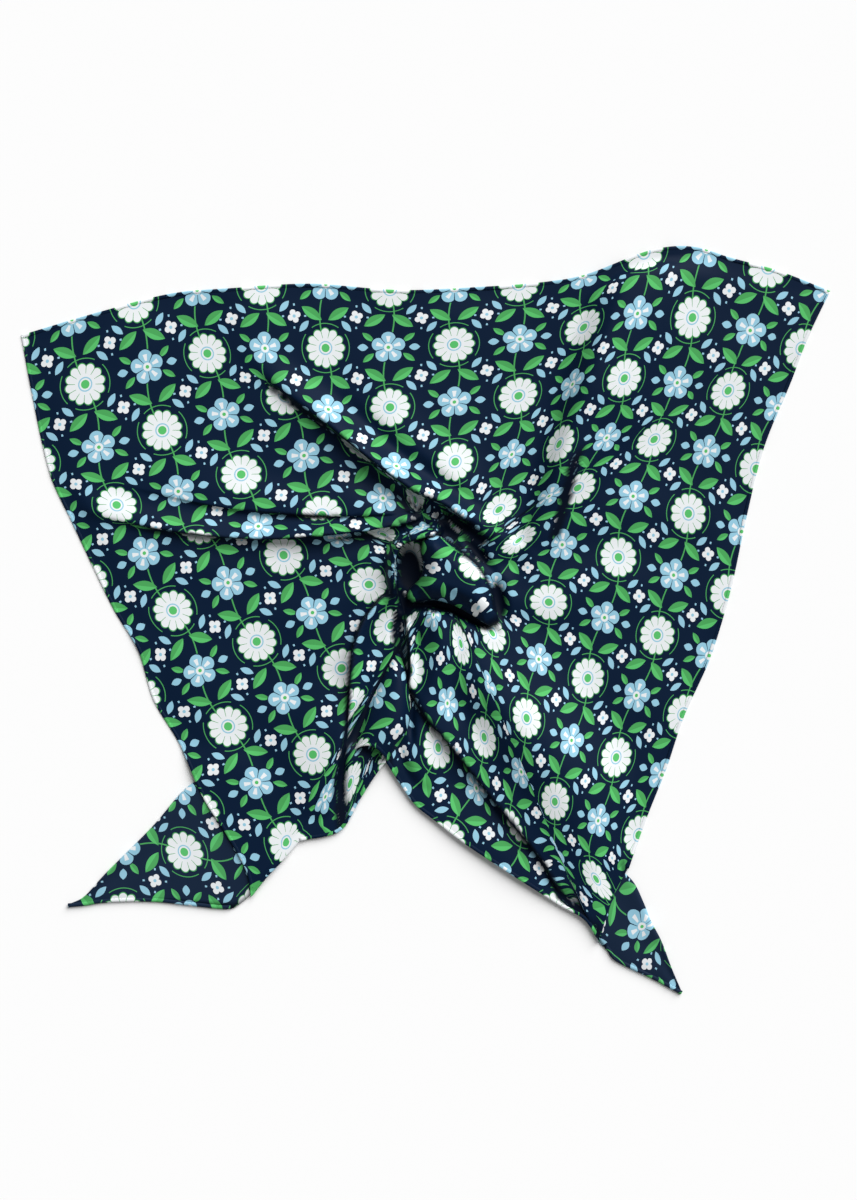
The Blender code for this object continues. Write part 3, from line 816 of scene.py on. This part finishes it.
def print_colour():
    """A half-drop of daisies, blossoms, leaves and vines, from the cloth's own flat coordinates.
    Its sizes are in mm, from the middle of the nearest daisy, blossom or small flower."""
    place = output("UVMap", "UV", uv_map="cloth")
    u = output("SeparateXYZ", "X", Vector=place) * 1000
    v = output("SeparateXYZ", "Y", Vector=place) * 1000
    shifted = u + PRINT_SHIFT
    column = math("FLOOR", shifted.times(1 / COLUMN, 0.5))
    dropped = v + math("FLOORED_MODULO", column, 2) * COLUMN
    x = wrapped(shifted, COLUMN)
    y = wrapped(dropped, 2 * COLUMN)
    low = wrapped(dropped + COLUMN, 2 * COLUMN)
    between_x = wrapped(shifted + COLUMN / 2, COLUMN)
    between_y = wrapped(v + COLUMN / 2, COLUMN)

    # the vine and its leaves
    sway = math("SINE", y * (np.pi / COLUMN)) * 6
    green = (x - sway).size() < 0.8
    bright = green & 0
    blue = green & 0
    for sign in (1, -1):
        for up in (1, -1):
            whole, half = leaf(x, y, (sign * 15, up * 38), sign * up * 33, 27, 11)
            green, bright = green | whole, bright | half
            whole, _ = leaf(x, y, (sign * 24, up * 24), -sign * up * 48, 16, 7)
            blue = blue | whole
            whole, half = leaf(x, low, (sign * 22, up * 12), sign * up * 38, 16, 6.5)
            green, bright = green | whole, bright | half
        whole, _ = leaf(x, low, (sign * 28, 0), 0, 12, 8)
        blue = blue | whole

    # the daisy, in a thin open ring
    far, angle = polar(x, y)
    green = green | (((far - 27).size() < 0.5) & (math("SINE", angle * 2).size() < 0.93))
    edge, wave = petals(far, angle, 12, 21.5, 0.20)
    green = green | (edge < 1.2)
    white = (edge < 0) & ((wave > 0.12) | (far < 11))
    green_top = far < 4.6
    blue_top = (far - 7).size() < 0.7

    # the blossom
    far, angle = polar(x, low)
    edge, wave = petals(far, angle, 5, 18.5, 0.36, np.pi / 4)
    navy_ring = edge < 1.1
    blossom = edge < 0
    white = white | ((wave > 0.90) & (far < 13.5) & (far > 6.5)) | (far < 4.6)
    gap = (wave < 0.10) & (far > 5) & (edge < 0)
    green_top = green_top | (far < 2)

    # the small flower between them, with four specks
    far, angle = polar(between_x, between_y)
    edge, _ = petals(far, angle, 4, 7.5, 0.5, np.pi / 4)
    white = white | (edge < 0)
    blue_top = blue_top | (far < 1.8)
    blue = blue | (((far - 12.5).size() < 1.2) & (math("COSINE", angle * 4) > 0.95))

    tone = NAVY
    for mask, colour in (
            (green, GREEN), (bright, BRIGHT_GREEN), (blue, LIGHT_BLUE), (navy_ring, NAVY),
            (blossom, LIGHT_BLUE), (white, WHITE), (gap, NAVY), (green_top, BRIGHT_GREEN),
            (blue_top, LIGHT_BLUE)):
        tone = mixed(mask, tone, colour)
    return tone, u, v


def material(name, colour, roughness, specular):
    made = bpy.data.materials.new(name)
    made.use_nodes = True
    fill(made.node_tree.nodes["Principled BSDF"], Base_Color=colour, Roughness=roughness,
         Specular_IOR_Level=specular)
    return made


def silk(name, pale):
    """Printed silk twill; pale is how far the print is faded."""
    made = material(name, NAVY, 0.5, 0.07)
    Value.tree = made.node_tree
    tone, u, v = print_colour()
    # painted shade: where the mask is set, the print gives way to the darker navy standing in for
    # shade
    tone = mixed(output("Attribute", "Fac", attribute_name="bare_and_shade"), tone, PAINTED_SHADE_NAVY)
    place = output("TexCoord", "Object")
    wash = output("TexNoise", "Fac", Vector=place, Scale=9, Detail=3)
    tone = mixed(1, tone, wash.times(0.16, 0.92), "MULTIPLY")
    twill = math("SINE", (u + v) * (2 * np.pi / TWILL_PITCH))
    slub = output("TexNoise", "Fac", Vector=place, Scale=260, Detail=2)
    bump = output("Bump", "Normal", Strength=0.06, Distance=0.0002, Height=twill * 0.5 + slub)
    fill(Value.tree.nodes["Principled BSDF"], Base_Color=mixed(pale, tone, FADED),
         Roughness=wash.times(0.12, 0.50), Normal=bump, Sheen_Weight=0.01, Sheen_Roughness=0.4)
    return made


silk_face = silk("silk_face_print", 0.0)
silk_reverse = silk("silk_reverse_print", 0.06)

# ---- the top layer
outline, rim_flat, inset, ranges = top_outline()
rays = len(outline)
ways = inward(outline[:, :2], True)
sharp = outline[[ranges["bottom_right"][0], ranges["left"][0]], :2]


def from_sharp(points):
    """Distance on plan from the two sharp corners, where the lay's hems end in a point."""
    return np.min(size(points[:, None, :2] - sharp[None]), axis=1)


deep = smooth_round(np.where(inset, RIM_INSET, ROLL_RADIUS))
deep *= np.clip(from_sharp(outline) / INSET_TAPER, 0.02, 1)
edge = outline[:, :2] + ways * deep[:, None]
middle = TWIST * MM
steps = np.arange(1, RINGS + 1) / RINGS
fractions = RING_EVEN * steps + (1 - RING_EVEN) * steps**RING_POWER
plan = middle + fractions[:, None, None] * (edge - middle)[None]
points = plan.reshape(-1, 2) / MM
height, hidden, hollow_shade = lay_height(points)
height = height.reshape(RINGS, rays) * MM
hidden = hidden.reshape(RINGS, rays)
near_rim = ease(size(edge[None] - plan) / RIM_FADE)
place = np.arange(rays)
lower = (place >= ranges["bottom_right"][0]) & (place < ranges["left"][0])
rises_from = smooth_round(np.where(lower, LOWER_LIFT_FROM, LIFT_FROM))
lift = outline[None, :, 2] * ease((fractions[:, None] - rises_from) / (1 - rises_from))
height = np.maximum(height * near_rim, lift * 0.9)
height = np.cbrt(height**3 + over_tails(plan.reshape(-1, 2)).reshape(RINGS, rays) ** 3) + SILK
moved = plan + lean_over(points).reshape(RINGS, rays, 2) * MM * near_rim[..., None]
shape = np.dstack([moved, height])
hidden = np.maximum(hidden, 1 - np.clip((facing_up(shape) - 0.25) / 0.35, 0, 1))

# its print
rim_flat = np.clip(rim_flat, RIM_INSET, SIDE - RIM_INSET)
lobe_ring = lobe_line()[:-1]
from_ring, _, _ = beside(points, lobe_ring)
lobe = (within(points, lobe_ring) & (from_ring > LOBE_HELD_IN)).reshape(RINGS, rays)
away = (points - lobe_ring.mean(axis=0)) * MM * LOBE_SLACK
lobe_flat = LOBE_PRINT + turned(away, LOBE_PRINT_TURN) * np.array([1, -1])
free = [ranges["right_roll"], ranges["left_roll"]]
flat = lay_flat(shape, hidden, rim_flat, free, lobe, lobe_flat.reshape(RINGS, rays, 2))
# painted shade: cloth squeezed into creases loses its print to the darker navy
bare_and_shade = np.clip((squeeze(shape, flat) - BARE_SHADE_FROM) / (BARE_SHADE_FULL - BARE_SHADE_FROM), 0, 1)
beyond = np.maximum(np.roll(bare_and_shade, 1, axis=1), np.roll(bare_and_shade, -1, axis=1))
beyond[1:-1] = np.maximum(beyond[1:-1], np.maximum(bare_and_shade[2:], bare_and_shade[:-2]))
bare_and_shade = np.maximum(np.maximum(bare_and_shade, BARE_SHADE_BESIDE * beyond), hollow_shade.reshape(RINGS, rays))

# its faces, closed at the twist and rolled under at both tails
hub_height = float(lay_height(TWIST[None])[0][0]) * MM + SILK
vertices = [*shape.reshape(-1, 3), (*middle, hub_height)]
flats = [*flat.reshape(-1, 2), flat[0].mean(axis=0)]
hub = len(vertices) - 1
faces = ring_faces(RINGS, rays) + [(hub, column, (column + 1) % rays) for column in range(rays)]
for name in ("right_roll", "left_roll"):
    first, last = ranges[name]
    columns = np.arange(first, last + 1)
    above = columns + (RINGS - 1) * rays
    rim, rim_uv = shape[-1][columns], flat[-1][columns]
    outward_uv = unit(rim_uv - flat[-3][columns])
    for turn, tuck in ROLL_STEPS:
        sweep = np.radians(turn)
        reach = ROLL_RADIUS * np.sin(sweep) - tuck * MM
        drop = ROLL_RADIUS * (1 - np.cos(sweep))
        low = np.maximum(rim[:, 2] - drop, ROLL_LOWEST)
        vertices += list(np.column_stack([rim[:, :2] - ways[columns] * reach, low]))
        flats += list(rim_uv + outward_uv * (ROLL_RADIUS * sweep + tuck * MM))
        below = np.arange(len(vertices) - len(columns), len(vertices))
        faces += grid_faces(np.array([above, below]))
        above = below
bare_and_shade = np.concatenate([bare_and_shade.ravel(), np.zeros(len(vertices) - bare_and_shade.size)])
top = grid_mesh("cloth_top", np.array(vertices), np.array(flats), faces, silk_face, bare_and_shade)
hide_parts("top_layer", "twist_lobe", "twist_collar")

# ---- the pleat over the notch
across = np.linspace(0, 1, PLEAT_SPAN + 1)
bow = np.sin(np.pi * across**0.72) ** 0.75
pleat = []
for number, (left_x, left_y, right_x, right_y, rise) in enumerate(curve_through(PLEAT, PLEAT_ROWS)):
    share = number / PLEAT_ROWS
    opened = ease(share * 4)
    right = np.array((right_x, right_y))
    span = np.array((left_x, left_y)) - right
    reach = size(span)
    back = np.array((span[1], -span[0])) / reach * PLEAT_BACK * MM
    back = back * opened * ease((share - 0.5) / 0.5)
    place = right + across[:, None] * span + back * np.sin(np.pi * across)[:, None]
    place -= span / reach * (np.exp(-((1 - across) / 0.12) ** 2) * 0.15 * rise)[:, None]
    low = (PLEAT_FOOT - PLEAT_SUNK * (1 - opened)) * MM
    pleat.append(np.column_stack([place, np.maximum(low + bow * rise, SILK)]))
pleat = np.array(pleat)
spans = np.array([run_along(line) for line in pleat])
to_mouth = run_along(pleat[::-1, PLEAT_SPAN // 2])[::-1, None]
pleat_flat = np.dstack([PLEAT_PRINT[0] - spans, PLEAT_PRINT[1] - to_mouth + 0 * spans])
pleat_piece = grid_mesh("cloth_pleat", pleat.reshape(-1, 3), pleat_flat.reshape(-1, 2),
                        grid_faces(np.arange(spans.size).reshape(spans.shape)), silk_face)
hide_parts("lower_pleat")

# ---- hems
stitches = []


def stitch(middle, half, side, up):
    """Keeps the corners of one stitch: its ends, its sides and its top."""
    corners = (middle - half, middle + half, middle + side, middle - side, middle + up)
    stitches.append([tuple(corner) for corner in corners])


def pucker(run, seed):
    """Slow uneven waves along a hem, from -1 to 1."""
    waves = random.Random(seed)
    total = np.zeros(len(run))
    for length in PUCKERS:
        wave = np.sin(run / (length * MM) * 2 * np.pi + waves.uniform(0, 6.28))
        total += wave * waves.uniform(0.6, 1)
    return total / len(PUCKERS)


def hem_strip(name, points, ways, level, edge_flat, flat_in, look, seed, shift=0.0):
    """A narrow turned hem: a flattened roll of cloth along an edge."""
    run = run_along(points)
    narrow = np.clip(from_sharp(points) / HEM_TAPER, 0.15, 1)
    wide = HEM_WIDTH * narrow * (1 + HEM_WAVER[0] * pucker(run, seed))
    thick = HEM_THICK * narrow * (1 + HEM_WAVER[1] * pucker(run, seed + 1))
    lines, flats = [], []
    for across, up in HEM_SECTION:
        place = points + ways * (wide * across + shift)[:, None]
        lines.append(np.column_stack([place, level + thick * up]))
        flats.append(edge_flat + flat_in * HEM_WIDTH * across)
    return tube_mesh(name, lines, flats, look)


def sew(points, ways, level, seed):
    """Short stitches along the inner edge of a hem."""
    run = run_along(points)
    shake = random.Random(seed)
    spot = STITCH_PITCH
    while spot < run[-1] - STITCH_PITCH:
        place = read_at(spot, run, points)
        way = unit(read_at(spot + 0.5 * MM, run, points) - place)
        inner = HEM_WIDTH * STITCH_ACROSS + shake.uniform(-0.1, 0.1) * MM
        middle = place + read_at(spot, run, ways) * inner
        half = way * STITCH_LENGTH / 2 * shake.uniform(0.9, 1.1)
        side = np.array([-way[1], way[0]]) * STITCH_HALF_WIDTH
        stitch(np.array([*middle, np.interp(spot, run, level)]), np.array([*half, 0]),
               np.array([*side, 0]), np.array([0, 0, STITCH_RISE]))
        spot += STITCH_PITCH * shake.uniform(0.94, 1.06)


def mouth_hem():
    """The hem round the pleat's mouth, lying on the cloth above its edge, with its stitches."""
    edge, above = pleat[-1], pleat[-4]
    into = unit(above - edge)
    up = unit(np.cross(into, np.gradient(edge, axis=0)))
    up *= np.sign(up[len(up) // 2, 2])
    lines, flats = [], []
    for across, rise in HEM_SECTION:
        lines.append(edge + into * (HEM_WIDTH * across) + up * (HEM_THICK * (rise - MOUTH_SUNK)))
        flats.append(pleat_flat[-1] + np.array([0, -1]) * HEM_WIDTH * across)
    item = tube_mesh("cloth_hem_pleat", lines, flats, silk_face)
    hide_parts("hem_pleat")
    run = run_along(edge)
    line = edge + into * (HEM_WIDTH * STITCH_ACROSS) + up * (HEM_THICK * MOUTH_STITCH_UP)
    for spot in np.arange(STITCH_PITCH, run[-1] - STITCH_PITCH, STITCH_PITCH):
        middle, over = read_at(spot, run, line), read_at(spot, run, up)
        way = unit(read_at(spot + 0.5 * MM, run, line) - middle)
        stitch(middle, way * STITCH_LENGTH / 2, np.cross(over, way) * STITCH_HALF_WIDTH,
               over * STITCH_RISE)
    return item


pleat_hem = mouth_hem()

dense = {}
for name, rows, *_ in OUTLINE:
    length = run_along(np.array(rows, float)[:, :2])[-1]
    dense[name] = curve_through(rows, int(length / HEM_STEP))
border = np.vstack([line[:-1] for line in dense.values()])
border_ways = inward(border[:, :2], True)
place = 0
for seed, (name, _, hem, _, start, end) in enumerate(OUTLINE):
    line = dense[name]
    spots = (np.arange(len(line)) + place) % len(border)
    place += len(line) - 1
    if not hem:
        continue
    first, last = ranges[name]
    rim_height = shape[-1, np.arange(first, last + 1) % rays, 2]
    share = np.linspace(0, 1, len(line))
    level = np.maximum(along(share, rim_height) - SILK - HEM_SUNK, TABLE_GAP)
    edge_flat = (np.array(start) * (1 - share[:, None]) + np.array(end) * share[:, None]) * MM
    edge_flat = np.clip(edge_flat, 0, SIDE)
    flat_in = np.array(FLAT_INWARD[name])
    item = hem_strip("cloth_hem_" + name, line[:, :2], border_ways[spots], level, edge_flat,
                     flat_in, silk_face, 10 * seed)
    if name != "bottom_left_end":
        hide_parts("hem_" + name)
    sew(line[:, :2], border_ways[spots], level + HEM_THICK * STITCH_UP, seed)


# ---- tails
def make_tail(name, rows, flat_corner, flat_in, hem_rows, seed):
    """A lower corner folded in two, reverse side up: one flattened tube with a puffed fold, and the
    hems of its two layers over the first hem_rows rows."""
    line = curve_through(rows, TAIL_STEPS)
    hem, folded = line[:, :2], line[:, 2:]
    wide = size(folded - hem)
    run = run_along(hem)
    edge_flat = flat_corner + np.array([0, -1]) * run[:, None]
    small = np.clip(wide / TAIL_FULL, 0.12, 1)
    waves = pucker(run * 0.25, seed)
    lines, flats = [], []
    for across, up in TAIL_SECTION:
        swell = np.sin(np.clip(across, 0, 1) * np.pi * 2.2 + waves * 2.5) * TAIL_SWELL
        rise = np.where(up > 0.3, swell * small * min(1, 4 * across * (1 - across)), 0)
        level = TAIL_GAP + (up * TAIL_HEIGHT * small + rise)
        lines.append(np.column_stack([hem + (folded - hem) * across, level]))
        flats.append(edge_flat + flat_in * (wide * across)[:, None])
    item = tube_mesh("cloth_" + name, lines, flats, silk_reverse)
    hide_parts(name)
    part = slice(0, int(TAIL_STEPS * (hem_rows - 1) / (len(rows) - 1)) + 1)
    ways = inward(hem, False)
    half = TAIL_STEPS // 2
    if ways[half] @ (folded - hem)[half] < 0:
        ways = -ways
    hem, ways = hem[part], ways[part]
    strips = []
    for layer, (shift, low) in enumerate(TAIL_HEMS):
        strip = hem_strip("cloth_hem_%s_%d" % (name, layer + 1), hem, ways,
                          np.full(len(hem), low), edge_flat[part], flat_in, silk_reverse,
                          seed + layer, shift=shift)
        strips.append(strip)
    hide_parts("hem_" + name)
    sew(hem, ways, np.full(len(hem), TAIL_HEMS[0][1] + HEM_THICK * STITCH_UP), seed)
    return item, strips


left_tail, left_strips = make_tail(
    "left_tail", LEFT_TAIL, np.array([0, SIDE]), np.array([1, 0]), 7, 101)
right_tail, right_strips = make_tail(
    "right_tail", RIGHT_TAIL, np.array([SIDE, SIDE]) + RIGHT_TAIL_PRINT, np.array([-1, 0]), 5, 131)

# ---- stitches
vertices = [tuple(float(part) for part in corner) for corners in stitches for corner in corners]
faces = []
for first in range(0, len(vertices), 5):
    back, front, left, right, peak = range(first, first + 5)
    faces += [(back, right, peak), (right, front, peak), (front, left, peak), (left, back, peak)]
mesh = bpy.data.meshes.new("cloth_stitches")
mesh.from_pydata(vertices, [], faces)
mesh.materials.append(material("navy_thread", THREAD, 0.6, 0.5))
mesh.update()
sewing = new_object("cloth_stitches", mesh)
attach(sewing, "root")

# ---- table, light and camera
bpy.ops.mesh.primitive_plane_add(size=TABLE_SIZE, location=(0, 0, -0.0002))
floor = bpy.context.object
floor.name = "table"
floor.data.materials.append(material("table_white", TABLE_WHITE, 0.9, 0.0))

scene = bpy.context.scene
scene.view_settings.view_transform = "Standard"
world = bpy.data.worlds.new("studio")
world.use_nodes = True
fill(world.node_tree.nodes["Background"], Color=(1, 1, 1, 1), Strength=WORLD_LIGHT)
scene.world = world
key = bpy.data.lights.new("softbox", "SUN")
key.energy = KEY_ENERGY
key.angle = np.radians(KEY_ANGLE)
new_object("softbox", key).rotation_euler = Vector(KEY_WAY).to_track_quat("-Z", "Y").to_euler()

camera = bpy.data.cameras.new("camera")
camera.sensor_width = SENSOR
camera.lens = SENSOR * CAMERA_HEIGHT / FRAME_HEIGHT
scene.camera = new_object("camera", camera)
scene.camera.location = (*FRAME_MIDDLE, CAMERA_HEIGHT)
